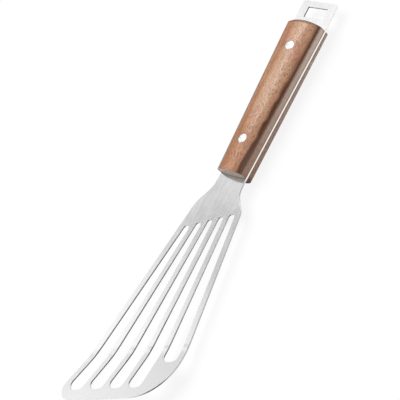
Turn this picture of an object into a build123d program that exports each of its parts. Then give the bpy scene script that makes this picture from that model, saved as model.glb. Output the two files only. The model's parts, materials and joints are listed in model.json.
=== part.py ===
from build123d import *
from collections import namedtuple
from math import cos, radians, sin, tan
import os

# Fish spatula: one steel sheet from the slotted blade to the hanging eye, and two wooden
# handle scales held on its tang by two cutlery rivets. Lengths are millimetres.
# Working frame: X runs from the blade's tip (negative) to the hanging eye (positive) and is
# zero at the handle's front end, Y is the handle's width, Z is up and zero on the tang's top.

# Steel sheet
sheet_thickness = 1.5

# Handle, seen from above: it widens towards the hanging eye and both ends bow outwards
handle_length = 125.0
handle_front_width = 24.8
handle_rear_width = 33.0
front_bow = 0.5
rear_bow = 1.4

# Handle section: each scale has upright sides, rounded shoulders and a low crown. The upper
# crown rises evenly from end to end; the lower one has one radius, so its sides get lower
# as the handle widens
upper_thickness = 9.8
upper_crown_rise = 4.3
lower_thickness = 8.3
lower_crown_radius = 31.0
shoulder_radius = 2.9
rim_chamfer = 0.3

# Hanging eye behind the handle
eye_length = 22.6
eye_corner_radius = 2.0
eye_hole_length = 9.0
eye_hole_width = 19.2
eye_hole_setback = 5.0
eye_hole_radius = 1.0

# Neck between the handle and the blade
left_waist_x = -11.4
left_waist_y = 13.0
right_waist_x = -12.0
right_waist_y = -12.4
left_root_x = -26.4
right_root_x = -24.7
left_waist_radius = 18.0
right_waist_radius = 12.0
left_root_radius = 16.0
right_root_radius = 11.0

# Blade: six bars fan out from one point inside the handle, with a slot between each two
fan_x = 106.0
fan_y = -4.5
bar_count = 6
left_bar_angle = 10.35
bar_angle_step = 3.33
last_bar_angle_step = 3.93
inner_bar_width = 3.5
edge_bar_width = 4.1

# Blade's tip edge and the ends of the slots, each a slanted line given where it meets Y = 0;
# the slots' corners are rounded by a share of the slot's width there
tip_x = -182.3
tip_slant = 18.5
left_tip_radius = 10.5
right_tip_radius = 37.0
tip_margin = 8.2
last_slot_setback = 21.0
slot_root_x = -35.8
slot_root_slant = 26.0
slot_root_round_share = 0.40
slot_tip_round_share = 0.37

# Curl of the blade, about a line that runs beside the tip edge
curl_x = -137.0
curl_radius = 51.5
curl_angle = 12.5

# Cutlery rivets
front_rivet_x = 25.9
rear_rivet_x = 104.6
rivet_head_diameter = 7.4
rivet_head_depth = 2.6
sleeve_diameter = 5.0
pin_diameter = 3.4
pin_length = 9.0
sleeve_end_gap = 1.2

bore_spare = 0.8
pin_chamfer = 0.4

# Radial gaps between parts, and how far a cut runs past what it cuts
shank_clearance = 0.10
pin_clearance = 0.05
head_clearance = 0.05
overrun = 5.0


last_bar = bar_count - 1
slot_end_x = tip_x + tip_margin / cos(radians(tip_slant))
eye_x = handle_length + eye_length
whole_length = eye_x - tip_x


def bar_side(index, side):
    """Return angle and Y at the fan point of one side (+1 left, -1 right) of a bar."""
    angle = left_bar_angle - index * bar_angle_step
    if index == last_bar:
        angle += bar_angle_step - last_bar_angle_step
    half_width = (edge_bar_width if index in (0, last_bar) else inner_bar_width) / 2
    return angle, fan_y + side * half_width / cos(radians(angle))


def side_y(index, side, x):
    """Return Y where a side of a bar passes x."""
    angle, y_at_fan = bar_side(index, side)
    return y_at_fan + (fan_x - x) * tan(radians(angle))


def side_meets(index, side, x_on_axis, slant):
    """Return the point where a side of a bar meets a slanted line."""
    angle, y_at_fan = bar_side(index, side)
    slope = tan(radians(angle))
    y = (y_at_fan + (fan_x - x_on_axis) * slope) / (1 - slope * tan(radians(slant)))
    return x_on_axis - y * tan(radians(slant)), y


# Steel sheet: its side view, swept across, and cut to the outline seen from above
curl_line = Plane(
    origin=(curl_x, 0, 0),
    x_dir=(cos(radians(tip_slant)), sin(radians(tip_slant)), 0),
    z_dir=(sin(radians(tip_slant)), -cos(radians(tip_slant)), 0),
)
with BuildPart() as steel_plate:
    with BuildSketch(curl_line):
        with BuildLine():
            flat = Line((whole_length, 0), (0, 0))
            bend = JernArc(flat @ 1, flat % 1, curl_radius, -curl_angle)
            toe = Line(bend @ 1, bend @ 1 + (bend % 1) * (curl_x - tip_x))
            offset(amount=sheet_thickness, side=Side.LEFT)
        make_face()
    extrude(amount=whole_length, both=True)

    with BuildSketch(Plane.XY.offset(-whole_length)):
        with BuildLine():
            FilletPolyline(
                (eye_x, handle_rear_width / 2),
                (handle_length, handle_rear_width / 2),
                (0, handle_front_width / 2),
                (left_waist_x, left_waist_y),
                (left_root_x, side_y(0, 1, left_root_x)),
                side_meets(0, 1, tip_x, tip_slant),
                side_meets(last_bar, -1, tip_x, tip_slant),
                (right_root_x, side_y(last_bar, -1, right_root_x)),
                (right_waist_x, right_waist_y),
                (0, -handle_front_width / 2),
                (handle_length, -handle_rear_width / 2),
                (eye_x, -handle_rear_width / 2),
                radius=[
                    eye_corner_radius,
                    0,
                    0,
                    left_waist_radius,
                    left_root_radius,
                    left_tip_radius,
                    right_tip_radius,
                    right_root_radius,
                    right_waist_radius,
                    0,
                    0,
                    eye_corner_radius,
                ],
                close=True,
            )
        make_face()
    extrude(amount=2 * whole_length, mode=Mode.INTERSECT)

    for slot in range(bar_count - 1):
        end_x = slot_end_x + (last_slot_setback if slot + 1 == last_bar else 0)
        left_root = Vector(*side_meets(slot, -1, slot_root_x, slot_root_slant))
        left_end = Vector(*side_meets(slot, -1, end_x, tip_slant))
        right_end = Vector(*side_meets(slot + 1, 1, end_x, tip_slant))
        right_root = Vector(*side_meets(slot + 1, 1, slot_root_x, slot_root_slant))
        root_radius = (left_root - right_root).length * slot_root_round_share
        end_radius = (left_end - right_end).length * slot_tip_round_share
        with BuildSketch(Plane.XY.offset(-whole_length)):
            with BuildLine():
                FilletPolyline(
                    left_root,
                    left_end,
                    right_end,
                    right_root,
                    radius=[root_radius, end_radius, end_radius, root_radius],
                    close=True,
                )
            make_face()
        extrude(amount=2 * whole_length, mode=Mode.SUBTRACT)

    with BuildSketch(Plane.XY.offset(overrun)):
        with Locations((eye_x - eye_hole_setback - eye_hole_length / 2, 0)):
            RectangleRounded(eye_hole_length, eye_hole_width, eye_hole_radius)
    extrude(amount=-(sheet_thickness + 2 * overrun), mode=Mode.SUBTRACT)

    with Locations((front_rivet_x, 0), (rear_rivet_x, 0)):
        Hole(sleeve_diameter / 2 + shank_clearance)


def arc_radius(width, rise):
    """Return the radius of an arc that rises that much above a chord of that width."""
    return ((width / 2) ** 2 + rise**2) / (2 * rise)


# What tells the two scales apart: the tang face they lie on, the way they face (1 up, -1 down),
# their thickness, and their crown's radius at the handle's front and rear ends
ScaleForm = namedtuple("ScaleForm", "tang_z facing thickness front_radius rear_radius")
upper = ScaleForm(
    tang_z=0,
    facing=1,
    thickness=upper_thickness,
    front_radius=arc_radius(handle_front_width, upper_crown_rise),
    rear_radius=arc_radius(handle_rear_width, upper_crown_rise),
)
lower = ScaleForm(
    tang_z=-sheet_thickness,
    facing=-1,
    thickness=lower_thickness,
    front_radius=lower_crown_radius,
    rear_radius=lower_crown_radius,
)


def crown_z(form):
    """Return the height of a scale's crown line."""
    return form.tang_z + form.facing * form.thickness


def seat_z(form):
    """Return the height of the seats under the rivet heads in a scale."""
    return crown_z(form) - form.facing * rivet_head_depth


def keep_under_crown(form):
    """Cut away what stands out of a scale's crown, a cone or a cylinder along the handle."""
    crown_line = []
    axis_line = []
    for x in (-overrun, handle_length + overrun):
        radius = form.front_radius + (form.rear_radius - form.front_radius) * x / handle_length
        crown_line.append(Vector(x, 0, crown_z(form)))
        axis_line.append(Vector(x, 0, crown_z(form) - form.facing * radius))
    axis = Axis(axis_line[0], axis_line[1] - axis_line[0])
    half_section = Face(Wire.make_polygon([*crown_line, *reversed(axis_line)])).rotate(axis, 180)
    revolve(half_section, axis=axis, mode=Mode.INTERSECT)


def handle_scale(form):
    """Add a scale: bowed ends, crown, rounded shoulders, eased rims and seats for the rivets."""
    front_left = (0, handle_front_width / 2)
    front_right = (0, -handle_front_width / 2)
    rear_left = (handle_length, handle_rear_width / 2)
    rear_right = (handle_length, -handle_rear_width / 2)
    with BuildSketch(Plane.XY.offset(form.tang_z)) as seen_from_above:
        with BuildLine():
            Line(front_left, rear_left)
            ThreePointArc(rear_left, (handle_length + rear_bow, 0), rear_right)
            Line(rear_right, front_right)
            ThreePointArc(front_right, (-front_bow, 0), front_left)
        make_face()
    extrude(seen_from_above.sketch, amount=form.facing * (form.thickness + overrun))
    keep_under_crown(form)

    crown = faces().sort_by_distance((handle_length / 2, 0, crown_z(form)))[0]
    fillet(crown.edges().sort_by(SortBy.LENGTH)[-2:], shoulder_radius)
    front_end, *_, rear_end = faces().sort_by(Axis.X)
    rims = front_end.edges() + rear_end.edges()
    chamfer(rims.filter_by(lambda edge: abs(edge.center().Z - form.tang_z) > rim_chamfer), rim_chamfer)

    for x in (front_rivet_x, rear_rivet_x):
        with Locations(Plane(origin=(x, 0, crown_z(form)), z_dir=(0, 0, form.facing))):
            CounterBoreHole(
                radius=sleeve_diameter / 2 + shank_clearance,
                counter_bore_radius=rivet_head_diameter / 2 + head_clearance,
                counter_bore_depth=rivet_head_depth,
            )


# Wooden scales on the tang's top and under faces
with BuildPart() as upper_scale:
    handle_scale(upper)
with BuildPart() as lower_scale:
    handle_scale(lower)


def post(x, z, radius, height, mode=Mode.ADD):
    """Add or cut a round post that stands at x on height z; a negative height goes down."""
    with BuildSketch(Plane.XY.offset(z)) as disc:
        with Locations((x, 0)):
            Circle(radius)
    extrude(disc.sketch, amount=height, mode=mode)


def rivet_head(x, form):
    """Add a round head on its seat at x, flush with the crown."""
    post(x, seat_z(form), rivet_head_diameter / 2, form.facing * (rivet_head_depth + overrun))
    keep_under_crown(form)


def rivet_sleeve(x):
    """Add a rivet's hollow half: a head in the upper scale and a shank bored for the pin."""
    rivet_head(x, upper)
    post(x, seat_z(upper), sleeve_diameter / 2, seat_z(lower) + sleeve_end_gap - seat_z(upper))
    post(x, seat_z(lower), pin_diameter / 2 + pin_clearance, pin_length + bore_spare, mode=Mode.SUBTRACT)


def rivet_pin(x):
    """Add a rivet's solid half: a head in the lower scale and a pin."""
    rivet_head(x, lower)
    post(x, seat_z(lower), pin_diameter / 2, pin_length)
    chamfer(faces().sort_by(Axis.Z)[-1].edges(), pin_chamfer)


# Cutlery rivets: each is a hollow half with its head on top and a solid half with its head below
with BuildPart() as front_rivet_sleeve:
    rivet_sleeve(front_rivet_x)
with BuildPart() as front_rivet_pin:
    rivet_pin(front_rivet_x)
with BuildPart() as rear_rivet_sleeve:
    rivet_sleeve(rear_rivet_x)
with BuildPart() as rear_rivet_pin:
    rivet_pin(rear_rivet_x)

# Library frame: the origin moves to the middle of the whole turner's underside
pieces = {
    "steel_plate": steel_plate,
    "upper_scale": upper_scale,
    "lower_scale": lower_scale,
    "front_rivet_sleeve": front_rivet_sleeve,
    "front_rivet_pin": front_rivet_pin,
    "rear_rivet_sleeve": rear_rivet_sleeve,
    "rear_rivet_pin": rear_rivet_pin,
}
whole = Compound([piece.part for piece in pieces.values()]).bounding_box()
to_library_frame = Location((-whole.center().X, -whole.center().Y, -whole.min.Z))

os.makedirs("parts", exist_ok=True)
for name, piece in pieces.items():
    piece.part.move(to_library_frame)
    piece.part.label = name
    export_step(piece.part, f"parts/{name}.step")
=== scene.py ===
"""Fish spatula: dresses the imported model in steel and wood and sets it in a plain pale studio."""

import json
import logging
import math
from dataclasses import dataclass, field
from enum import Enum

import bpy
from mathutils import Matrix, Vector
from mathutils.bvhtree import BVHTree

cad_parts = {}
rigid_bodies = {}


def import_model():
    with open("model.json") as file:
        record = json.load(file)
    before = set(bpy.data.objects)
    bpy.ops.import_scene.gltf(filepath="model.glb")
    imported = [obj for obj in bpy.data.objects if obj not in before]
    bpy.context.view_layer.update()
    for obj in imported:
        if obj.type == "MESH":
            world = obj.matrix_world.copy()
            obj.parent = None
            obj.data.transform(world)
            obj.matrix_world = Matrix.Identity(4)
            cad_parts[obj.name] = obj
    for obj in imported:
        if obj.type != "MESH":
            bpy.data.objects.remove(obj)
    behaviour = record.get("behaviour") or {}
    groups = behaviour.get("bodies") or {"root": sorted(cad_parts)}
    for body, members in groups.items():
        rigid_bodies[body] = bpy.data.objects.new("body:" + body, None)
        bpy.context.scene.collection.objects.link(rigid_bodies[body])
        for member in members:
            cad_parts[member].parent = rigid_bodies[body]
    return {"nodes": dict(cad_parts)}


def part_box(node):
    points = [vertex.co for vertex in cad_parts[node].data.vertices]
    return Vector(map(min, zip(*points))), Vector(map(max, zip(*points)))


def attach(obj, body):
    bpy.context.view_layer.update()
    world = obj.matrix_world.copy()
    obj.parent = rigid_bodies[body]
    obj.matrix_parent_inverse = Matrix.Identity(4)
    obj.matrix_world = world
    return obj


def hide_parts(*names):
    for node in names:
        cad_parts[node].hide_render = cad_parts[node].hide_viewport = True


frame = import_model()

log = logging.getLogger("fish_spatula")

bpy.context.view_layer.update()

# Kinds of values
Piece = bpy.types.Object
Material = bpy.types.Material
Node = bpy.types.Node
Socket = bpy.types.NodeSocket
Parts = dict[str, Socket]
Sockets = tuple[tuple[str, str, str, object], ...]
Color = tuple[float, float, float, float]
Pair = tuple[float, float]
Triple = tuple[float, float, float]
# A value's ends and, where they aren't 0 and 1, what it becomes there
Span = tuple[float, ...]
Spans = tuple[Span, Span]
# A noise's waves a metre, its number of finer layers and how strong they are
Noise = tuple[float, float, float]
# The same with its own waves a metre along each axis
Figure = tuple[Triple, float, float]

WHITE: Color = (1.0, 1.0, 1.0, 1.0)
WALL_DEPTH = "wall_depth"
# Points closer than this are one point, and faces that turn by less than this are one face
MERGE_DISTANCE = 0.000002
FLAT_ANGLE = math.radians(0.3)
# How strongly large faces flatten the shading around them
FLAT_WEIGHT = 90


class SheetFace(Enum):
    """Material slots of the steel sheet: its rolled faces, the rubbed outer rim and the punched walls."""

    ROLLED = 0
    RIM = 1
    PUNCHED = 2


class Grain(Enum):
    """How far the wood's figure is shifted, so that no two scales show the same one."""

    UPPER = (0.0, 0.0, 0.0)
    LOWER = (0.37, 0.11, 0.23)


class RivetHalf(Enum):
    """The hollow half of a rivet, from above, and the solid one, from below."""

    SLEEVE = "sleeve"
    PIN = "pin"


# Node helpers


@dataclass
class Wiring:
    """Adds nodes to one node tree and links them.

    Attributes:
        tree: The node tree of a material, a world or a group.
    """

    tree: bpy.types.NodeTree

    def add(self, kind: str, inputs: dict | None = None, **settings: object) -> Node:
        """Add a node.

        Args:
            kind: The node's type, without its ShaderNode prefix.
            inputs: A value or an output socket for each named or numbered input.
            settings: Attributes to set on the node.

        Returns:
            The new node.
        """
        node = self.tree.nodes.new(kind if kind.startswith("NodeGroup") else "ShaderNode" + kind)
        for name, value in settings.items():
            setattr(node, name, value)
        for name, value in (inputs or {}).items():
            self.feed(node.inputs[name], value)
        return node

    def feed(self, socket: Socket, value: object) -> None:
        """Link an input to an output socket, or set it to a value.

        Args:
            socket: The input.
            value: The output socket or the value.
        """
        if isinstance(value, Socket):
            self.tree.links.new(value, socket)
        else:
            socket.default_value = value

    def math(self, operation: str, *values: object, clamp: bool = False) -> Socket:
        """Return the result of a Math node, kept between 0 and 1 if it is clamped."""
        return self.add("Math", dict(enumerate(values)), operation=operation, use_clamp=clamp).outputs[0]

    def times(self, first: object, second: object) -> Socket:
        """Return two values multiplied."""
        return self.math("MULTIPLY", first, second)

    def rest(self, mask: Socket) -> Socket:
        """Return what a mask leaves of 1."""
        return self.math("SUBTRACT", 1.0, mask)

    def vector(self, operation: str, *values: object, output: int | str = 0) -> Socket:
        """Return a result of a Vector Math node."""
        return self.add("VectorMath", dict(enumerate(values)), operation=operation).outputs[output]

    def parts(self, vector: Socket) -> Parts:
        """Return a vector's X, Y and Z."""
        return dict(self.add("SeparateXYZ", {0: vector}).outputs.items())

    def place(self) -> Socket:
        """Return the object's own coordinates in metres."""
        return self.add("TexCoord").outputs["Object"]

    def normal(self) -> Socket:
        """Return the surface's normal."""
        return self.add("NewGeometry").outputs["Normal"]

    def mix(self, mask: object, first: object, second: object) -> Socket:
        """Return the second colour laid over the first one by a mask."""
        inputs = {"Factor": mask, 6: first, 7: second}
        return self.add("Mix", inputs, data_type="RGBA").outputs[2]

    def layered(self, color: Socket, *layers: tuple[Socket, Color]) -> Socket:
        """Lay tints over a colour.

        Args:
            color: The colour below.
            layers: A mask and a tint for each layer, from the lowest up.

        Returns:
            The colour that is seen.
        """
        for mask, tint in layers:
            color = self.mix(mask, color, tint)
        return color

    def blend(self, mask: Socket, first: object, second: object) -> Socket:
        """Return the second value in place of the first one by a mask."""
        inputs = {"Factor": mask, 2: first, 3: second}
        return self.add("Mix", inputs, data_type="FLOAT").outputs[0]

    def ramp(self, value: object, low: float, high: float, start: float = 0, end: float = 1) -> Socket:
        """Return a value's range from low to high, stretched to run from start to end and kept there."""
        inputs = {"Value": value, 1: low, 2: high, 3: start, 4: end}
        return self.add("MapRange", inputs, clamp=True).outputs[0]

    def between(self, value: Socket, rise: Span, fall: Span) -> Socket:
        """Return a mask that comes up over one span of a value and goes over the other."""
        return self.times(self.ramp(value, *rise), self.ramp(value, *fall))

    def noise(self, place: Socket, scale: object, detail: float = 2.0, roughness: float = 0.5) -> Socket:
        """Return the value of a noise at a place."""
        inputs = {"Vector": place, "Scale": scale, "Detail": detail, "Roughness": roughness}
        return self.add("TexNoise", inputs).outputs[0]

    def figure(self, place: Socket, scale: object, detail: float, roughness: float) -> Socket:
        """Return the value of a noise that is scaled along each axis by itself."""
        return self.noise(self.vector("MULTIPLY", place, scale), 1.0, detail, roughness)

    def bump(self, height: Socket, depth: float) -> Socket:
        """Return a normal raised by a height of 0 to 1 that stands for a depth in metres."""
        return self.add("Bump", {"Height": height, "Distance": depth, "Strength": 1.0}).outputs[0]


@dataclass(frozen=True)
class Effect:
    """A shader node group that several finishes share, built the first time it is asked for."""

    name: str = "effect"

    def sockets(self) -> Sockets:
        """Return direction, type, name and default value of each socket."""
        raise NotImplementedError

    def wire(self, net: Wiring, source: Node, target: Node) -> None:
        """Add the group's own nodes between its inputs and its outputs."""
        raise NotImplementedError

    def tree(self) -> bpy.types.NodeTree:
        """Find or build the group.

        Returns:
            The group's node tree.
        """
        known = bpy.data.node_groups.get(self.name)
        if known:
            return known
        tree = bpy.data.node_groups.new(self.name, "ShaderNodeTree")
        for direction, kind, name, default in self.sockets():
            socket = tree.interface.new_socket(name, in_out=direction, socket_type="NodeSocket" + kind)
            if default is not None:
                socket.default_value = default
        net = Wiring(tree)
        self.wire(net, net.add("NodeGroupInput"), net.add("NodeGroupOutput"))
        return tree

    def place(self, net: Wiring, **values: object) -> Parts:
        """Place the group in a material.

        Args:
            net: The material's wiring.
            values: A number or socket for each input, with spaces in its name as underscores.

        Returns:
            The group's outputs by name.
        """
        node = net.add("Group", node_tree=self.tree())
        for name, value in values.items():
            net.feed(node.inputs[name.replace("_", " ")], value)
        return dict(node.outputs.items())


@dataclass(frozen=True)
class EdgeWear(Effect):
    """A mask of the edges, broken up along their length, for worn and polished rims.

    Attributes:
        samples: How finely the rounded normal is sampled.
        turn: From how far to how far the rounded normal turns away, as a cosine.
        patches: How the noise that breaks up the mask is read.
    """

    name: str = "edge_wear"
    samples: int = 4
    turn: Span = (0.995, 0.86)
    patches: Span = (0.35, 0.6, 0.45, 1.0)

    def sockets(self) -> Sockets:
        """Return the group's sockets."""
        return (
            ("INPUT", "Float", "Width", 0.0005),
            ("INPUT", "Float", "Amount", 1.0),
            ("INPUT", "Float", "Patch Scale", 300.0),
            ("OUTPUT", "Float", "Mask", None),
        )

    def wire(self, net: Wiring, source: Node, target: Node) -> None:
        """Compare the surface's normal with one that is rounded over the edge.

        Args:
            net: The group's wiring.
            source: Its input node.
            target: Its output node.
        """
        width = {"Radius": source.outputs["Width"]}
        rounded = net.add("Bevel", width, samples=self.samples).outputs[0]
        turned = net.vector("DOT_PRODUCT", rounded, net.normal(), output="Value")
        edge = net.ramp(turned, *self.turn)
        broken = net.noise(net.place(), source.outputs["Patch Scale"])
        patched = net.times(edge, net.ramp(broken, *self.patches))
        worn = net.math("MULTIPLY", patched, source.outputs["Amount"], clamp=True)
        net.tree.links.new(worn, target.inputs["Mask"])


@dataclass(frozen=True)
class BrushedLines(Effect):
    """Fine lines along the turner's length, as a belt leaves them on metal, and a few stray scratches.

    Attributes:
        layers: The lines' finer layers and how strong they are.
        slant: The angle of the stray scratches, in radians.
        scratches: The noise that the scratches are cut from.
        scratch_span: Which part of that noise is a scratch.
        clouds: The slow clouds.
    """

    name: str = "brushed_lines"
    layers: Pair = (3.0, 0.6)
    slant: float = 0.35
    scratches: Figure = ((28.0, 900.0, 900.0), 1.0, 0.5)
    scratch_span: Span = (0.68, 0.74)
    clouds: Noise = (55.0, 3.0, 0.55)

    def sockets(self) -> Sockets:
        """Return the group's sockets."""
        return (
            ("INPUT", "Float", "Length Scale", 40.0),
            ("INPUT", "Float", "Line Scale", 3000.0),
            ("INPUT", "Float", "Stray Scratches", 0.3),
            ("OUTPUT", "Float", "Lines", None),
            ("OUTPUT", "Float", "Clouds", None),
        )

    def wire(self, net: Wiring, source: Node, target: Node) -> None:
        """Stretch a noise along X, and add thin scratches at a slight slant and slow clouds.

        Args:
            net: The group's wiring.
            source: Its input node.
            target: Its output node.
        """
        place = net.place()
        along, across = source.outputs["Length Scale"], source.outputs["Line Scale"]
        scale = net.add("CombineXYZ", {"X": along, "Y": across, "Z": across}).outputs[0]
        fine = net.figure(place, scale, *self.layers)
        turn = {"Vector": place, "Axis": (0, 0, 1), "Angle": self.slant}
        slanted = net.add("VectorRotate", turn).outputs[0]
        scratch = net.ramp(net.figure(slanted, *self.scratches), *self.scratch_span)
        stray = net.times(scratch, source.outputs["Stray Scratches"])
        lines = net.math("ADD", fine, stray, clamp=True)
        net.tree.links.new(lines, target.inputs["Lines"])
        net.tree.links.new(net.noise(place, *self.clouds), target.inputs["Clouds"])


@dataclass(frozen=True)
class WoodGrain(Effect):
    """Straight grain along the handle: growth bands, fibres, and open pores cut lengthwise.

    Each noise is named for what it draws, and each span says which part of its noise that is.
    """

    name: str = "wood_grain"
    bend: Figure = ((9.0, 60.0, 60.0), 2.0, 0.5)
    bend_share: float = 0.5
    rings: Figure = ((5.0, 260.0, 120.0), 2.0, 0.5)
    ring_span: Span = (0.5, 1.0)
    fibres: Figure = ((110.0, 2400.0, 2400.0), 3.0, 0.6)
    cells: Figure = ((400.0, 1900.0, 1900.0), 2.0, 0.65)
    cell_span: Span = (0.545, 0.60)
    streaks: Figure = ((22.0, 620.0, 620.0), 3.0, 0.6)
    streak_span: Span = (0.36, 0.66)
    reds: Figure = ((16.0, 210.0, 150.0), 2.0, 0.5)
    red_span: Span = (0.45, 0.7)
    clouds: Figure = ((45.0, 110.0, 110.0), 3.0, 0.6)

    def sockets(self) -> Sockets:
        """Return the group's sockets."""
        names = ("Bands", "Fibres", "Pores", "Clouds", "Streaks", "Reds")
        shift = ("INPUT", "Vector", "Shift", (0.0, 0.0, 0.0))
        return shift, *(("OUTPUT", "Float", name, None) for name in names)

    def wire(self, net: Wiring, source: Node, target: Node) -> None:
        """Build each part of the figure from noises stretched along the handle.

        Args:
            net: The group's wiring.
            source: Its input node.
            target: Its output node.
        """
        place = net.vector("ADD", net.place(), source.outputs["Shift"])
        bent = net.times(net.figure(place, *self.bend), self.bend_share)
        rings = net.math("ADD", net.figure(place, *self.rings), bent)
        values = {
            "Bands": net.ramp(rings, *self.ring_span),
            "Fibres": net.figure(place, *self.fibres),
            "Pores": net.ramp(net.figure(place, *self.cells), *self.cell_span),
            "Clouds": net.figure(place, *self.clouds),
            "Streaks": net.ramp(net.figure(place, *self.streaks), *self.streak_span),
            "Reds": net.ramp(net.figure(place, *self.reds), *self.red_span),
        }
        for name, value in values.items():
            net.tree.links.new(value, target.inputs[name])


# Finishes. In their fields a length is a span along the turner in metres, a slope is one of how level a
# face lies, from 0 for upright to 1 for level, a share is a tint's strength, and a depth is in metres.


def shading(name: str, **uniform: float) -> tuple[Material, Wiring, Node]:
    """Start a material.

    Args:
        name: The material's name.
        uniform: A number for each of the shader's inputs that is the same all over.

    Returns:
        The material, its wiring and its Principled BSDF node.
    """
    material = bpy.data.materials.new(name)
    material.use_nodes = True
    shader = material.node_tree.nodes["Principled BSDF"]
    for socket, value in uniform.items():
        shader.inputs[socket].default_value = value
    return material, Wiring(material.node_tree), shader


def connect(net: Wiring, shader: Node, **sockets: Socket) -> None:
    """Feed the shader's inputs, each named with underscores for spaces."""
    for name, socket in sockets.items():
        net.tree.links.new(socket, shader.inputs[name.replace("_", " ")])


@dataclass(frozen=True)
class RolledSteel:
    """Satin sheet steel: faint lines along its length, slow clouds and a few stray scratches."""

    dark: Color = (0.70, 0.70, 0.70, 1.0)
    light: Color = (0.78, 0.78, 0.78, 1.0)
    line_share: float = 0.45
    cloud_share: float = 0.55
    tone_span: Span = (0.38, 0.62)
    rough_span: Span = (0.35, 0.65, 0.12, 0.18)
    line_depth: float = 0.0000012

    def material(self) -> Material:
        """Build the finish.

        Returns:
            The material.
        """
        material, net, steel = shading("rolled_steel", Metallic=1.0)
        brushed = BrushedLines().place(net, Length_Scale=22.0, Line_Scale=2600.0, Stray_Scratches=0.35)
        lines = net.times(brushed["Lines"], self.line_share)
        tone = net.math("ADD", lines, net.times(brushed["Clouds"], self.cloud_share))
        color = net.mix(net.ramp(tone, *self.tone_span), self.dark, self.light)
        rough = net.ramp(tone, *self.rough_span)
        normal = net.bump(brushed["Lines"], self.line_depth)
        connect(net, steel, Base_Color=color, Roughness=rough, Normal=normal)
        return material


@dataclass(frozen=True)
class RubbedRim:
    """The sheet's outer rim, rounded and rubbed to a soft shine, brightest along its edges.

    The blade's front corner is darkened with painted shade, a dark painted reflection, the rim's right
    side has painted shade, and between the scales the rim has taken on a little of the wood's colour.
    """

    base: Color = (0.93, 0.925, 0.91, 1.0)
    grimy: Color = (0.82, 0.815, 0.80, 1.0)
    grime: Figure = ((420.0, 420.0, 420.0), 3.0, 0.6)
    grime_span: Span = (0.4, 0.75)
    grime_depth: float = 0.000004
    rough_span: Span = (0.3, 0.7, 0.26, 0.36)
    worn: Color = (0.97, 0.965, 0.955, 1.0)
    # Painted shade: a dark painted reflection on the blade's front corner.
    tip_shade: Color = (0.05, 0.05, 0.055, 1.0)
    tip_shade_side: Triple = (-0.58, -0.815, 0.0)
    tip_shade_turns: Spans = ((0.82, 0.9, 0.0, 0.3), (0.93, 0.99, 0.0, 0.65))
    tip_shade_length: Span = (-0.01, -0.03)
    # Painted shade on the rim's side that faces -Y, near the blade.
    rim_side_shade: Color = (0.50, 0.50, 0.50, 1.0)
    rim_side_shade_turn: Span = (-0.78, -0.93)
    rim_side_shade_length: Span = (0.024, 0.018)
    stained: Color = (0.99, 0.93, 0.87, 1.0)
    stained_lengths: Spans = ((0.022, 0.026), (0.150, 0.146))

    def material(self) -> Material:
        """Build the finish.

        Returns:
            The material.
        """
        material, net, steel = shading("rubbed_rim", Metallic=1.0)
        grime = net.figure(net.place(), *self.grime)
        edge = EdgeWear().place(net, Width=0.0002, Amount=0.9, Patch_Scale=260.0)["Mask"]
        along = net.parts(net.place())["X"]
        normal = net.normal()
        # Painted shade on the blade's front corner, picked by the way the rim faces.
        facing = net.vector("DOT_PRODUCT", normal, self.tip_shade_side, output="Value")
        tip_shade = net.math("ADD", *(net.ramp(facing, *turn) for turn in self.tip_shade_turns))
        tip_shade = net.times(tip_shade, net.ramp(along, *self.tip_shade_length))
        # Painted shade on the rim's side that faces -Y.
        rim_side_shade = net.ramp(net.parts(normal)["Y"], *self.rim_side_shade_turn)
        rim_side_shade = net.times(rim_side_shade, net.ramp(along, *self.rim_side_shade_length))
        color = net.layered(
            net.mix(net.ramp(grime, *self.grime_span), self.base, self.grimy),
            (edge, self.worn),
            (tip_shade, self.tip_shade),
            (net.times(rim_side_shade, net.rest(tip_shade)), self.rim_side_shade),
            (net.between(along, *self.stained_lengths), self.stained),
        )
        rough = net.ramp(grime, *self.rough_span)
        bumped = net.bump(grime, self.grime_depth)
        connect(net, steel, Base_Color=color, Roughness=rough, Normal=bumped)
        return material


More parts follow.
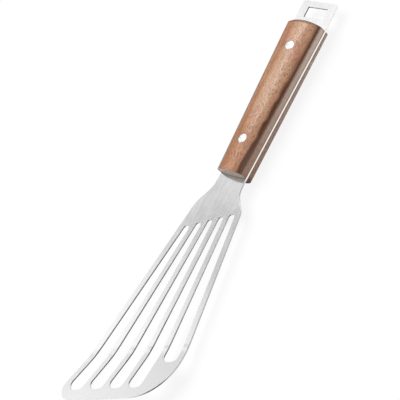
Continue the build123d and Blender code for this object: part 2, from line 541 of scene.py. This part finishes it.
@dataclass(frozen=True)
class PunchedWall:
    """The walls of the slots and holes: a burnished band over fractured metal, dark partly of its own and
    partly as painted shade.

    The band gets deeper towards the slots' roots and at their ends, and ends before the handle.
    """

    # Fractured metal's own dark colour, darkened further as painted shade: a dark painted reflection of
    # the shaded floor.
    torn_and_shaded: Color = (0.12, 0.12, 0.125, 1.0)
    burnished: Color = (0.70, 0.70, 0.70, 1.0)
    edge: Color = (0.6, 0.6, 0.6, 1.0)
    tears: Figure = ((700.0, 700.0, 260.0), 3.0, 0.65)
    tear_depth: float = 0.00002
    ragged_span: Span = (0.3, 0.7, -0.0001, 0.0001)
    burnished_depth: float = 0.0006
    burnished_fade: float = 0.0002
    root_slant: float = 1.2
    root_span: Span = (-0.09, 0.0, 0.0, 0.0005)
    corner_turns: Spans = ((-0.1, -0.3), (-0.95, -0.75))
    end_turns: Spans = ((0.3, 0.6, 0.0, 0.001), (-0.8, -0.95, 0.0, 0.001))
    blade_length: Span = (0.05, 0.06, 1.0, 0.0)
    rough_span: Span = (0.0, 1.0, 0.55, 0.3)

    def deeper(self, net: Wiring) -> Socket:
        """Work out how much deeper the burnished band gets.

        Args:
            net: The material's wiring.

        Returns:
            The added depth in metres.
        """
        place = net.parts(net.place())
        turned = net.parts(net.normal())["X"]
        towards_root = net.math("SUBTRACT", place["X"], net.times(place["Y"], self.root_slant))
        corner = net.between(turned, *self.corner_turns)
        deeper = net.times(net.ramp(towards_root, *self.root_span), net.rest(corner))
        ends = net.math("MAXIMUM", *(net.ramp(turned, *turn) for turn in self.end_turns))
        return net.times(net.math("ADD", deeper, ends), net.ramp(place["X"], *self.blade_length))

    def material(self) -> Material:
        """Build the finish.

        Returns:
            The material.
        """
        material, net, steel = shading("punched_wall", Metallic=1.0)
        torn_and_shaded = net.figure(net.place(), *self.tears)
        edge = EdgeWear().place(net, Width=0.0002, Amount=0.5, Patch_Scale=400.0)["Mask"]
        depth = net.add("Attribute", attribute_name=WALL_DEPTH).outputs["Fac"]
        ragged = net.math("ADD", depth, net.ramp(torn_and_shaded, *self.ragged_span))
        left = net.math("SUBTRACT", ragged, self.deeper(net))
        upper = net.ramp(left, self.burnished_depth, self.burnished_depth - self.burnished_fade)
        # Partly painted shade: the walls' lower part is dark fractured metal.
        color = net.mix(upper, self.torn_and_shaded, self.burnished)
        color = net.mix(edge, color, self.edge)
        rough = net.ramp(upper, *self.rough_span)
        normal = net.bump(torn_and_shaded, self.tear_depth)
        connect(net, steel, Base_Color=color, Roughness=rough, Normal=normal)
        return material


@dataclass(frozen=True)
class HandleWood:
    """Oiled hardwood with painted light: a painted highlight on its crest, painted shade on its smooth
    shoulders and towards its front, a painted sheen on its sides, and darkest at its end grain and along
    its joint.

    Attributes:
        grain: Which part of the figure the piece shows.
        joint: The height of the tang's middle, along which oil has darkened the wood.
    """

    grain: Grain
    light: Color = (0.64, 0.34, 0.165, 1.0)
    mid: Color = (0.50, 0.20, 0.07, 1.0)
    cloud_span: Span = (0.36, 0.64)
    red: Color = (0.55, 0.19, 0.09, 1.0)
    red_share: float = 0.7
    dark: Color = (0.24, 0.09, 0.035, 1.0)
    band_share: float = 0.42
    fibre_span: Span = (0.45, 0.7, 0.0, 0.3)
    streak_share: float = 0.34
    pore: Color = (0.09, 0.03, 0.012, 1.0)
    pore_share: float = 0.9
    rubbed_share: float = 0.5
    # Painted highlight: a pale beige band along the crest.
    crest_highlight: Color = (0.74, 0.53, 0.37, 1.0)
    crest_highlight_slope: Span = (0.965, 0.99)
    crest_highlight_length: Span = (0.05, 0.08, 0.0, 0.2)
    # Painted shade: the crown darker and redder towards its front, where its highlight fades.
    front_shade: Color = (0.30, 0.095, 0.02, 1.0)
    front_shade_length: Span = (0.06, 0.03, 0.0, 0.4)
    # Painted shade: a dark painted reflection along the shoulders, which are also smooth.
    shoulder_shade: Color = (0.09, 0.024, 0.004, 1.0)
    shoulder_shade_slopes: Spans = ((0.94, 0.9, 0.0, 0.96), (0.45, 0.68))
    shoulder_shade_roughness: float = 0.12
    side_slope: Span = (0.45, 0.1)
    # Painted sheen: the sides paler and greyer towards the rear, a painted reflection of the floor.
    side_sheen: Color = (0.70, 0.53, 0.40, 1.0)
    side_sheen_length: Span = (0.04, 0.13)
    side_sheen_share: float = 0.85
    # Painted light on the upper scale's front end face, which lies in shade; the lower scale gets painted
    # shade here.
    front_face_lighting: Color = (0.85, 0.72, 0.62, 1.0)
    front_turn: Span = (-0.6, -0.9, 0.0, 0.9)
    # Painted shade at the left corner of the front end face.
    shaded_corner_width: Span = (0.0, 0.0042, 0.0, 0.85)
    # The end grain's own dark colour, also used for painted shade.
    end_grain_and_shade: Color = (0.05, 0.025, 0.014, 1.0)
    rear_turn: Span = (0.35, 0.7, 0.0, 0.8)
    rear_length: Span = (0.1476, 0.1484, 0.0, 0.6)
    joint: float = 0.00905
    joint_span: Span = (0.0019, 0.0011, 0.0, 0.8)
    # Painted shade on the front of the sides, strongest on the lower scale under the steel neck.
    front_side_shade_length: Span = (0.028, 0.025)
    front_side_shade_share: float = 0.2
    rough_span: Span = (0.35, 0.7, 0.22, 0.30)
    rough_pores: float = 0.2
    rough_ends: float = 0.4
    rough_length: Span = (0.055, 0.03, 0.0, 0.1)
    fibre_height: float = 0.3
    figure_depth: float = 0.00003

    def ends(self, net: Wiring, place: Parts, turned: Socket, side: Socket) -> Socket:
        """Mask the end grain, the dark joint and the rear edge, and the painted shade on the front of the
        sides.

        Args:
            net: The material's wiring.
            place: The coordinates.
            turned: How far a face looks to the rear.
            side: The mask of the upright sides.

        Returns:
            The mask.
        """
        joint = net.math("ABSOLUTE", net.math("SUBTRACT", place["Z"], self.joint))
        front_side_shade = net.ramp(place["X"], *self.front_side_shade_length, 0.0, self.front_side_shade_share)
        ends = net.ramp(turned, *self.rear_turn)
        ends = net.math("MAXIMUM", ends, net.times(side, net.ramp(joint, *self.joint_span)))
        ends = net.math("MAXIMUM", ends, net.times(front_side_shade, side))
        return net.math("MAXIMUM", ends, net.ramp(place["X"], *self.rear_length))

    def rough(self, net: Wiring, figure: Parts, along: Socket, ends: Socket, shoulder_shade: Socket) -> Socket:
        """Work out the roughness: more in the pores, at the ends and in front, less on the shoulders under
        their painted shade.

        Args:
            net: The material's wiring.
            figure: The parts of the wood's figure.
            along: The place along the turner.
            ends: The mask of the end grain, the dark joint and the painted shade on the front of the
                sides.
            shoulder_shade: The mask of the painted shade on the shoulders.

        Returns:
            The roughness.
        """
        pores = net.times(net.times(figure["Pores"], self.pore_share), self.rough_pores)
        rough = net.math("ADD", net.ramp(figure["Fibres"], *self.rough_span), pores)
        rough = net.math("ADD", rough, net.times(ends, self.rough_ends))
        rough = net.math("ADD", rough, net.ramp(along, *self.rough_length))
        smoothed = net.times(shoulder_shade, net.math("SUBTRACT", rough, self.shoulder_shade_roughness))
        return net.math("SUBTRACT", rough, smoothed)

    def material(self) -> Material:
        """Build the finish.

        Returns:
            The material.
        """
        material, net, wood = shading("handle_wood_" + self.grain.name.lower(), IOR=2.0)
        figure = WoodGrain().place(net, Shift=self.grain.value)
        rubbed = EdgeWear().place(net, Width=0.0009, Amount=0.55, Patch_Scale=180.0)["Mask"]
        place, normal = net.parts(net.place()), net.parts(net.normal())
        level = net.math("ABSOLUTE", normal["Z"])
        # Painted highlight along the crest, behind the front.
        crest_highlight = net.ramp(place["X"], *self.crest_highlight_length)
        crest_highlight = net.times(net.ramp(level, *self.crest_highlight_slope), crest_highlight)
        # Painted shade on the shoulders.
        shoulder_shade = net.between(level, *self.shoulder_shade_slopes)
        side = net.ramp(level, *self.side_slope)
        # Painted sheen on the sides.
        side_sheen = net.ramp(place["X"], *self.side_sheen_length, 0.0, self.side_sheen_share)
        front = net.ramp(normal["X"], *self.front_turn)
        # End grain and dark joint, with painted shade on the front of the sides.
        ends = self.ends(net, place, normal["X"], side)
        color = net.layered(
            net.mix(net.ramp(figure["Clouds"], *self.cloud_span), self.mid, self.light),
            (net.times(figure["Reds"], self.red_share), self.red),
            (net.times(figure["Bands"], self.band_share), self.dark),
            (net.ramp(figure["Fibres"], *self.fibre_span), self.dark),
            (net.times(figure["Streaks"], self.streak_share), self.dark),
            (net.times(figure["Pores"], self.pore_share), self.pore),
            (crest_highlight, self.crest_highlight),
            # Painted shade towards the front of the crown.
            (net.ramp(place["X"], *self.front_shade_length), self.front_shade),
            (net.times(rubbed, self.rubbed_share), self.pore),
            (shoulder_shade, self.shoulder_shade),
            (net.times(side, side_sheen), self.side_sheen),
            # Painted light on the upper scale's front end face, painted shade on the lower one's.
            (front, self.front_face_lighting),
            # Painted shade at the left corner of the front end face.
            (net.times(front, net.ramp(place["Y"], *self.shaded_corner_width)), self.end_grain_and_shade),
            (ends, self.end_grain_and_shade),
        )
        rough = self.rough(net, figure, place["X"], ends, shoulder_shade)
        fibres = net.times(figure["Fibres"], self.fibre_height)
        height = net.times(net.math("SUBTRACT", fibres, figure["Pores"]), net.rest(shoulder_shade))
        bumped = net.bump(height, self.figure_depth)
        connect(net, wood, Base_Color=color, Roughness=rough, Normal=bumped)
        return material


@dataclass(frozen=True)
class RivetSteel:
    """Polished rivet metal with the fine rings of its facing cut and a rim rubbed dull.

    Attributes:
        centre: The rivet's axis, where the rings start.
        name: The material's name.
        ring_turn: How far the rings' wave turns over a metre, in radians.
    """

    centre: Pair
    name: str = "rivet_steel"
    clean: Color = (0.94, 0.94, 0.93, 1.0)
    smeared: Color = (0.89, 0.89, 0.88, 1.0)
    worn: Color = (0.7, 0.69, 0.67, 1.0)
    smears: Noise = (700.0, 3.0, 0.6)
    smear_span: Span = (0.4, 0.65)
    rough_span: Span = (0.4, 0.7, 0.16, 0.26)
    rough_rings: float = 0.04
    ring_turn: float = 26000.0
    ring_depth: float = 0.0000008

    def material(self) -> Material:
        """Build the finish.

        Returns:
            The material.
        """
        material, net, steel = shading(self.name, Metallic=1.0)
        moved = net.vector("ADD", net.place(), (-self.centre[0], -self.centre[1], 0.0))
        flat = net.vector("MULTIPLY", moved, (1.0, 1.0, 0.0))
        radius = net.vector("LENGTH", flat, output="Value")
        rings = net.ramp(net.math("SINE", net.times(radius, self.ring_turn)), -1.0, 1.0)
        smears = net.noise(net.place(), *self.smears)
        edge = EdgeWear().place(net, Width=0.0003, Amount=0.6, Patch_Scale=500.0)["Mask"]
        color = net.mix(net.ramp(smears, *self.smear_span), self.clean, self.smeared)
        color = net.mix(edge, color, self.worn)
        ringed = net.times(rings, self.rough_rings)
        rough = net.math("ADD", net.ramp(smears, *self.rough_span), ringed)
        normal = net.bump(rings, self.ring_depth)
        connect(net, steel, Base_Color=color, Roughness=rough, Normal=normal)
        return material


# Modelling helpers


def select_only(piece: Piece) -> None:
    """Make one object the active and only selected one.

    Args:
        piece: The object.
    """
    for other in bpy.context.view_layer.objects:
        other.select_set(False)
    piece.select_set(True)
    bpy.context.view_layer.objects.active = piece


def merged_copy(node: str, name: str) -> Piece:
    """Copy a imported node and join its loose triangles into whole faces.

    Args:
        node: The node to copy.
        name: The new piece's name.

    Returns:
        The new piece, with its own mesh.
    """
    piece = bpy.data.objects.new(name, frame["nodes"][node].data.copy())
    bpy.context.scene.collection.objects.link(piece)
    piece.data.materials.clear()
    select_only(piece)
    bpy.ops.object.mode_set(mode="EDIT")
    bpy.ops.mesh.select_all(action="SELECT")
    bpy.ops.mesh.remove_doubles(threshold=MERGE_DISTANCE)
    bpy.ops.mesh.customdata_custom_splitnormals_clear()
    bpy.ops.mesh.dissolve_limited(angle_limit=FLAT_ANGLE)
    bpy.ops.mesh.select_all(action="DESELECT")
    bpy.ops.object.mode_set(mode="OBJECT")
    return piece


def round_edges(piece: Piece, width: float, segments: int, angle: float) -> None:
    """Round the edges sharper than an angle.

    Args:
        piece: The piece.
        width: The rounding's width in metres.
        segments: How many strips it gets.
        angle: The smallest angle that counts as an edge, in degrees.
    """
    select_only(piece)
    bevel = piece.modifiers.new("rounded_edges", "BEVEL")
    bevel.width = width
    bevel.segments = segments
    bevel.limit_method = "ANGLE"
    bevel.angle_limit = math.radians(angle)
    bevel.use_clamp_overlap = True
    bevel.harden_normals = False
    bpy.ops.object.modifier_apply(modifier=bevel.name)


def smooth(piece: Piece, angle: float) -> None:
    """Shade a piece smooth, with its flats kept flat.

    Args:
        piece: The piece.
        angle: The angle in degrees from which a turn stays sharp.
    """
    select_only(piece)
    bpy.ops.object.shade_smooth_by_angle(angle=math.radians(angle))
    weighted = piece.modifiers.new("flat_faces", "WEIGHTED_NORMAL")
    weighted.mode = "FACE_AREA"
    weighted.weight = FLAT_WEIGHT
    weighted.keep_sharp = True
    bpy.ops.object.modifier_apply(modifier=weighted.name)


def hand_over(piece: Piece, slot: str, *nodes: str) -> None:
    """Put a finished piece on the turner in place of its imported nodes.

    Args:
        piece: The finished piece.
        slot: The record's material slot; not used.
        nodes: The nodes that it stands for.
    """
    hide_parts(*nodes)
    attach(piece, "root")


# Sub-assemblies. Roundings are in metres and angles in degrees.


@dataclass
class SteelSheet:
    """The one steel sheet from the slotted blade to the hanging eye.

    Attributes:
        wall_slope: How level a face may lie and still be part of a wall.
        rim_round: Width of the rounding along the outer rim.
        rim_steps: That rounding's strips.
        punched_round: Width of the rounding along slots and holes.
        punched_steps: That rounding's strips.
        smooth_angle: From here a turn stays sharp.
        pieces: What it builds.
    """

    wall_slope: float = 0.35
    rim_round: float = 0.00016
    rim_steps: int = 3
    punched_round: float = 0.00012
    punched_steps: int = 2
    smooth_angle: float = 35.0
    pieces: list[Piece] = field(default_factory=list)

    def wall_loops(self, sheet: Piece) -> list[set[int]]:
        """Find the sheet's walls.

        Args:
            sheet: The merged sheet.

        Returns:
            The faces of each closed wall, the longest wall first: the outer rim, then slots and holes.
        """
        mesh = sheet.data
        walls = {face.index for face in mesh.polygons if abs(face.normal.z) < self.wall_slope}
        by_edge: dict[tuple[int, int], list[int]] = {}
        for index in walls:
            for key in mesh.polygons[index].edge_keys:
                by_edge.setdefault(key, []).append(index)
        loops = []
        while walls:
            loop, edge_of = set(), [walls.pop()]
            while edge_of:
                index = edge_of.pop()
                loop.add(index)
                for key in mesh.polygons[index].edge_keys:
                    near = [other for other in by_edge[key] if other in walls]
                    walls.difference_update(near)
                    edge_of.extend(near)
            loops.append(loop)
        return sorted(loops, key=lambda loop: -sum(mesh.polygons[index].area for index in loop))

    def mark(self, sheet: Piece) -> None:
        """Give each face of the sheet its material slot.

        Args:
            sheet: The merged sheet.
        """
        rim, *punched = self.wall_loops(sheet)
        slots = {index: SheetFace.RIM.value for index in rim}
        slots.update({index: SheetFace.PUNCHED.value for loop in punched for index in loop})
        for face in sheet.data.polygons:
            face.material_index = slots.get(face.index, SheetFace.ROLLED.value)

    def measure_walls(self, sheet: Piece) -> None:
        """Keep each point's depth under the sheet's top face, which the punched walls' finish reads.

        Args:
            sheet: The marked sheet.
        """
        mesh = sheet.data
        tops = [
            list(face.vertices)
            for face in mesh.polygons
            if face.material_index == SheetFace.ROLLED.value and face.normal.z > 0
        ]
        top = BVHTree.FromPolygons([vertex.co for vertex in mesh.vertices], tops)
        depth = mesh.attributes.new(WALL_DEPTH, "FLOAT", "POINT")
        for vertex in mesh.vertices:
            *_, distance = top.find_nearest(vertex.co)
            depth.data[vertex.index].value = distance

    def round_walls(self, sheet: Piece, wall: SheetFace, width: float, segments: int) -> None:
        """Round the edges where a kind of wall meets the rolled faces, outside the handle.

        Args:
            sheet: The marked sheet.
            wall: The kind of wall.
            width: The rounding's width in metres.
            segments: How many strips it gets.
        """
        select_only(sheet)
        bpy.ops.object.mode_set(mode="EDIT")
        bpy.ops.mesh.select_mode(type="EDGE")
        bpy.ops.mesh.select_all(action="DESELECT")
        bpy.ops.object.mode_set(mode="OBJECT")
        kinds: dict[tuple[int, int], set[int]] = {}
        for face in sheet.data.polygons:
            for key in face.edge_keys:
                kinds.setdefault(key, set()).add(face.material_index)
        wanted = {wall.value, SheetFace.ROLLED.value}
        low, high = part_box("upper_scale")
        for edge in sheet.data.edges:
            middle = sum(sheet.data.vertices[index].co.x for index in edge.vertices) / 2
            held = wall is SheetFace.RIM and low.x < middle < high.x
            edge.select = kinds[edge.key] == wanted and not held
        bpy.ops.object.mode_set(mode="EDIT")
        shape = {"offset": width, "segments": segments, "profile": 0.5}
        bpy.ops.mesh.bevel(**shape, material=wall.value, clamp_overlap=True)
        bpy.ops.object.mode_set(mode="OBJECT")

    def build(self) -> None:
        """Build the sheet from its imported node, and round its edges."""
        sheet = merged_copy("steel_plate", "turner_sheet")
        for finish in (RolledSteel(), RubbedRim(), PunchedWall()):
            sheet.data.materials.append(finish.material())
        self.mark(sheet)
        self.round_walls(sheet, SheetFace.RIM, self.rim_round, self.rim_steps)
        self.round_walls(sheet, SheetFace.PUNCHED, self.punched_round, self.punched_steps)
        self.measure_walls(sheet)
        smooth(sheet, self.smooth_angle)
        self.pieces.append(sheet)

    def dress(self) -> None:
        """Put the sheet, which has its finishes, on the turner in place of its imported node."""
        hand_over(self.pieces[0], "sheet_steel", "steel_plate")


@dataclass
class HandleScale:
    """One wooden scale of the handle.

    Attributes:
        node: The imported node.
        finish: Its wood.
        edge_round: Width of its sharp edges' rounding.
        edge_steps: That rounding's strips.
        edge_angle: The smallest angle that counts as a sharp edge.
        smooth_angle: From here a turn stays sharp.
        pieces: What it builds.
    """

    node: str
    finish: HandleWood
    edge_round: float = 0.00025
    edge_steps: int = 2
    edge_angle: float = 38.0
    smooth_angle: float = 30.0
    pieces: list[Piece] = field(default_factory=list)

    def build(self) -> None:
        """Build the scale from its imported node, and ease its edges."""
        scale = merged_copy(self.node, self.node + "_wood")
        round_edges(scale, self.edge_round, self.edge_steps, self.edge_angle)
        smooth(scale, self.smooth_angle)
        self.pieces.append(scale)

    def dress(self) -> None:
        """Finish the scale in oiled wood."""
        scale = self.pieces[0]
        scale.data.materials.append(self.finish.material())
        hand_over(scale, "handle_wood", self.node)


@dataclass
class CutleryRivet:
    """A rivet that holds both scales: a hollow half from above and a solid half from below.

    Attributes:
        place: Which rivet it is, front or rear.
        head_round: Width of its edges' rounding.
        head_steps: That rounding's strips.
        edge_angle: The smallest angle that counts as an edge.
        smooth_angle: From here a turn stays sharp.
        pieces: What it builds.
    """

    place: str
    head_round: float = 0.00012
    head_steps: int = 2
    edge_angle: float = 40.0
    smooth_angle: float = 30.0
    pieces: list[Piece] = field(default_factory=list)

    def build(self) -> None:
        """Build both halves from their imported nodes, and round their edges."""
        for half in RivetHalf:
            node = f"{self.place}_rivet_{half.value}"
            piece = merged_copy(node, node + "_turned")
            round_edges(piece, self.head_round, self.head_steps, self.edge_angle)
            smooth(piece, self.smooth_angle)
            self.pieces.append(piece)

    def dress(self) -> None:
        """Finish both halves in polished metal."""
        low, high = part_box(f"{self.place}_rivet_sleeve")
        middle = (low + high) / 2
        finish = RivetSteel((middle.x, middle.y), f"{self.place}_rivet_steel").material()
        for half, piece in zip(RivetHalf, self.pieces):
            piece.data.materials.append(finish)
            hand_over(piece, "rivet_steel", f"{self.place}_rivet_{half.value}")


# Studio


@dataclass(frozen=True)
class Sky:
    """A soft sky, white to the camera: the steel mirrors a bright screen behind the turner, in a dim room.

    A width, distance or height is a span of the X, Y or Z of the direction that is looked in.

    Attributes:
        screen_light: How bright the screen is, where it is dimmest and brightest.
        front_share: How bright the room is low down on the camera's side.
        ceiling: How bright it is overhead.
        room_light: How bright it is to the left and right of the screen.
        soft_light: How bright the sky is for matt surfaces, in front and behind.
    """

    screen_light: Pair = (0.60, 1.5)
    screen_height: Span = (0.42, 0.50, 0.1, 1.0)
    dip_width: Span = (0.135, 0.205)
    rise_widths: Spans = ((0.21, 0.235, 0.0, 0.25), (0.24, 0.28, 0.0, 0.37))
    far_distance: Span = (0.668, 0.69, 1.0, 0.93)
    near_distance: Span = (0.655, 0.672, 0.93, 1.0)
    curl_distances: Spans = ((0.755, 0.772, 0.90, 1.27), (0.772, 0.79, 0.0, 0.14))
    curl_width: Span = (0.25, 0.30)
    curl_height: Span = (0.655, 0.69)
    band_middle: float = 0.69
    band_height: Span = (0.05, 0.12)
    shade_width: Span = (0.275, 0.245, 0.0, 0.8)
    strip_height: Span = (0.712, 0.75)
    strip_width: Span = (0.255, 0.28, 0.0, 2.0)
    front_share: float = 0.95
    front_height: Span = (0.35, 0.6)
    behind_distance: Span = (0.0, 0.3)
    ceiling: float = 0.28
    ceiling_height: Span = (0.84, 0.94)
    room_light: float = 0.75
    dark_widths: Spans = ((0.0, -0.1), (-0.45, -0.3))
    dark_distance: Span = (0.2, 0.4, 0.0, 0.6)
    wide_widths: Spans = ((0.0, 0.08), (0.6, 0.48))
    narrow_widths: Spans = ((0.2, 0.235), (0.365, 0.335))
    narrow_height: Span = (0.82, 0.9)
    narrow_distance: Span = (0.4, 0.2)
    soft_light: Pair = (0.18, 0.46)
    soft_distance: Span = (-0.7, 0.9)

    def screen(self, net: Wiring, way: Parts) -> Socket:
        """Light the screen behind the turner.

        Args:
            net: The world's wiring.
            way: The direction that is looked in.

        Returns:
            The screen's light.
        """
        along, across, height = way["X"], way["Y"], way["Z"]
        dip, crest = self.screen_light
        level = net.ramp(along, *self.dip_width, crest, dip)
        level = net.times(level, net.ramp(across, *self.far_distance))
        for rise in self.rise_widths:
            level = net.math("ADD", level, net.ramp(along, *rise))
        level = net.times(level, net.ramp(across, *self.near_distance))
        curl = net.math("ADD", *(net.ramp(across, *span) for span in self.curl_distances))
        low = net.blend(net.ramp(along, *self.curl_width), crest, curl)
        glow = net.blend(net.ramp(height, *self.curl_height), low, level)
        off_band = net.math("ABSOLUTE", net.math("SUBTRACT", height, self.band_middle))
        shaded = net.ramp(along, *self.shade_width)
        shaded = net.times(net.ramp(off_band, *self.band_height), shaded)
        glow = net.times(glow, net.rest(shaded))
        strip = net.times(net.ramp(height, *self.strip_height), net.ramp(along, *self.strip_width))
        return net.times(net.math("ADD", glow, strip), net.ramp(height, *self.screen_height))

    def mirrored(self, net: Wiring, way: Parts) -> Socket:
        """Work out what reflections see.

        Args:
            net: The world's wiring.
            way: The direction that is looked in.

        Returns:
            The light of the screen and the room around it.
        """
        along, across, height = way["X"], way["Y"], way["Z"]
        front = net.ramp(height, *self.front_height, self.front_share, self.ceiling)
        behind = net.ramp(across, *self.behind_distance)
        ahead = net.blend(behind, front, self.screen(net, way))
        ahead = net.times(ahead, net.ramp(height, *self.ceiling_height, 1.0, self.ceiling))
        dark = net.between(along, *self.dark_widths)
        dark = net.times(dark, net.ramp(across, *self.dark_distance))
        room = net.times(net.rest(dark), self.room_light)
        wide = net.between(along, *self.wide_widths)
        narrow = net.between(along, *self.narrow_widths)
        above = net.ramp(height, *self.narrow_height)
        above = net.math("MAXIMUM", above, net.ramp(across, *self.narrow_distance))
        return net.blend(net.blend(above, wide, narrow), room, ahead)

    def build(self) -> None:
        """Build the world."""
        world = bpy.data.worlds.new("studio_sky")
        world.use_nodes = True
        bpy.context.scene.world = world
        net = Wiring(world.node_tree)
        way = net.parts(net.add("TexCoord").outputs["Generated"])
        soft = net.ramp(way["Y"], *self.soft_distance, *self.soft_light)
        path = net.add("LightPath").outputs
        lit = net.blend(path["Is Glossy Ray"], soft, self.mirrored(net, way))
        strength = net.math("MAXIMUM", path["Is Camera Ray"], lit)
        background = net.tree.nodes["Background"]
        background.inputs["Color"].default_value = WHITE
        net.tree.links.new(strength, background.inputs["Strength"])


@dataclass
class Studio:
    """Pale floor, soft sky and a lamp, and the camera at the photograph's angle.

    Attributes:
        eye: Where the camera stands.
        right: The picture's right-hand direction.
        up: The picture's upward direction.
        lens: Focal length in millimetres.
        sensor: The sensor's width in millimetres.
        sight: The nearest and farthest distance that the camera sees.
        floor_size: Length of the floor's sides in metres.
        floor_white: Share of pure white that the camera sees in the floor.
        floor_mirrored: Share that reflections see, by the blade and by the eye.
        floor_length: From where to where along the turner that changes.
        floor_beyond: From where to where beyond the turner that falls, and to what.
        paper: The floor's own colour.
        lamp_side: Direction from the turner to the lamp.
        lamp_strength: Its strength on a surface that faces it.
        lamp_spread: Its apparent width in degrees.
    """

    eye: Triple = (-0.26666, -0.82048, 0.86758)
    right: Triple = (0.44269798, -0.70830075, -0.54984411)
    up: Triple = (0.86992612, 0.19061834, 0.45485514)
    lens: float = 152.31
    sensor: float = 36.0
    sight: Pair = (0.01, 50.0)
    floor_size: float = 6.0
    floor_white: float = 0.88
    floor_mirrored: Pair = (0.45, 1.0)
    floor_length: Span = (0.0, 0.12)
    floor_beyond: Span = (0.06, 0.2, 1.0, 0.45)
    paper: Color = (0.9, 0.9, 0.9, 1.0)
    lamp_side: Triple = (0.1, 0.47, 0.877)
    lamp_strength: float = 3.1
    lamp_spread: float = 50.0

    def camera(self) -> None:
        """Stand the camera where the photograph was taken from."""
        lens = bpy.data.cameras.new("camera")
        lens.sensor_width = self.sensor
        lens.lens = self.lens
        lens.clip_start, lens.clip_end = self.sight
        camera = bpy.data.objects.new("camera", lens)
        bpy.context.scene.collection.objects.link(camera)
        right, up = Vector(self.right), Vector(self.up)
        turn = Matrix((right, up, right.cross(up))).transposed()
        camera.matrix_world = Matrix.Translation(self.eye) @ turn.to_4x4()
        bpy.context.scene.camera = camera

    def floor_material(self) -> Material:
        """Build the floor's finish: bright to the camera and to reflections, matt, and clear from below.

        Returns:
            The material.
        """
        material = bpy.data.materials.new("studio_floor")
        material.use_nodes = True
        net = Wiring(material.node_tree)
        net.tree.nodes.remove(net.tree.nodes["Principled BSDF"])
        paper = net.add("BsdfDiffuse", {"Color": self.paper}).outputs[0]
        glow = net.add("Emission", {"Color": WHITE, "Strength": 1.0}).outputs[0]
        clear = net.add("BsdfTransparent").outputs[0]
        path = net.add("LightPath").outputs
        place = net.parts(net.place())
        level = net.ramp(place["X"], *self.floor_length, *self.floor_mirrored)
        level = net.times(level, net.ramp(place["Y"], *self.floor_beyond))
        mirrored = net.math("MAXIMUM", path["Is Glossy Ray"], path["Is Transmission Ray"])
        seen = net.times(path["Is Camera Ray"], self.floor_white)
        share = net.math("MAXIMUM", seen, net.times(mirrored, level))
        above = net.add("MixShader", {0: share, 1: paper, 2: glow}).outputs[0]
        under = net.add("NewGeometry").outputs["Backfacing"]
        both = net.add("MixShader", {0: under, 1: above, 2: clear}).outputs[0]
        net.tree.links.new(both, net.tree.nodes["Material Output"].inputs["Surface"])
        return material

    def floor(self) -> None:
        """Lay the floor, which keeps the turner's shadow."""
        for other in bpy.context.view_layer.objects:
            other.select_set(False)
        bpy.ops.mesh.primitive_plane_add(size=self.floor_size)
        floor = bpy.context.active_object
        floor.name = "studio_floor"
        floor.data.materials.append(self.floor_material())

    def lamp(self) -> None:
        """Shine one broad, soft lamp from behind and above, which reflections don't show."""
        lamp = bpy.data.lights.new("back_lamp", "SUN")
        lamp.energy = self.lamp_strength
        lamp.angle = math.radians(self.lamp_spread)
        holder = bpy.data.objects.new("back_lamp", lamp)
        bpy.context.scene.collection.objects.link(holder)
        holder.rotation_mode = "QUATERNION"
        holder.rotation_quaternion = Vector(self.lamp_side).to_track_quat("Z", "Y")
        holder.visible_glossy = False

    def build(self) -> None:
        """Build the whole studio."""
        self.camera()
        self.floor()
        Sky().build()
        self.lamp()
        bpy.context.scene.view_settings.view_transform = "Standard"


def main() -> None:
    """Build, dress and report each sub-assembly, and set up the studio."""
    logging.basicConfig(level=logging.INFO, format="%(name)s: %(message)s")
    upper_wood = HandleWood(Grain.UPPER)
    lower_wood = HandleWood(
        Grain.LOWER,
        light=(0.56, 0.33, 0.18, 1.0),
        mid=(0.41, 0.18, 0.075, 1.0),
        # Less painted sheen on the lower scale's sides.
        side_sheen_share=0.2,
        # Painted shade on the lower scale's front end face.
        front_face_lighting=upper_wood.end_grain_and_shade,
        # Strong painted shade on the front of the lower scale's sides, under the neck.
        front_side_shade_share=0.9,
    )
    assemblies = (
        SteelSheet(),
        HandleScale("upper_scale", upper_wood),
        HandleScale("lower_scale", lower_wood),
        CutleryRivet("front"),
        CutleryRivet("rear"),
    )
    for assembly in assemblies:
        assembly.build()
        assembly.dress()
        for piece in assembly.pieces:
            log.info("%s: %d faces", piece.name, len(piece.data.polygons))
    Studio().build()


if __name__ == "__main__":
    main()
